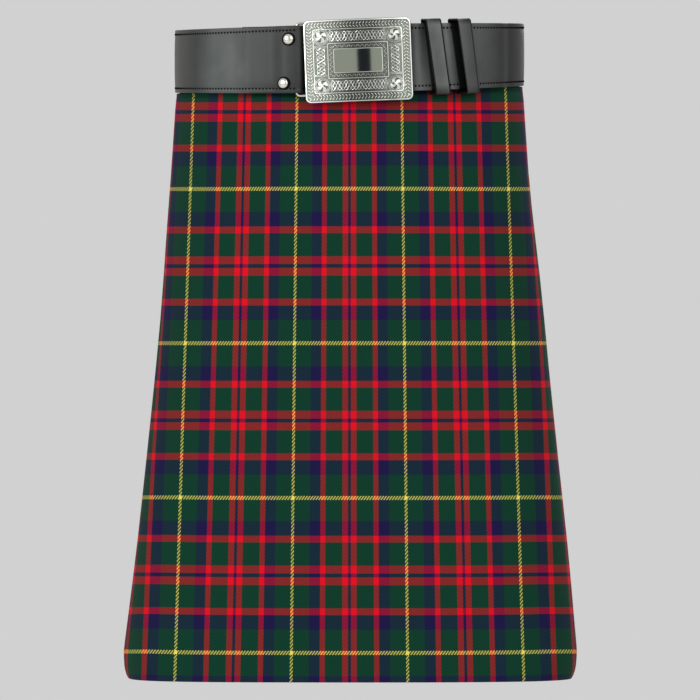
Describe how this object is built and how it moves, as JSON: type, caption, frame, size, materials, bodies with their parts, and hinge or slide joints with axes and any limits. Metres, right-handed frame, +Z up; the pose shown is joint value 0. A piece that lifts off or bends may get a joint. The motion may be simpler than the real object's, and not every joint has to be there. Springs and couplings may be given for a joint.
{
  "type": "scottish kilt with belt",
  "caption": "Tartan wrap kilt held in its worn shape, with a flat front apron, knife pleats round the back and a leather belt with a cast plate buckle.",
  "frame": {"origin": "centre of the waist opening, level with the cloth's top edge at the centre front, where the wearer's waist holds the kilt", "axes": "+Z up, the front of the kilt faces -Y, +X to the wearer's left"},
  "size_m": [0.4112, 0.319, 0.5988],
  "materials": {
    "tartan": "woven wool tartan in green, navy and red with a yellow line, 2/2 twill",
    "black_leather": "smooth black leather with a satin finish, stitched along both edges",
    "antique_silver": "cast plate with an antique silver finish",
    "nickel": "polished nickel"
  },
  "bodies": {
    "root": {"over_apron": "tartan", "pleats": "tartan", "under_apron": "tartan", "waistband": "tartan", "under_waistband": "tartan", "belt_loop_left": "tartan", "belt_loop_right": "tartan", "belt_strap": "black_leather", "keeper_front": "black_leather", "keeper_side": "black_leather", "hip_strap": "black_leather", "hip_tab": "black_leather", "buckle_plate": "antique_silver", "loop_left": "nickel", "loop_right": "nickel", "rivet_upper": "nickel", "rivet_lower": "nickel", "hip_buckle": "nickel"}
  },
  "joints": []
}
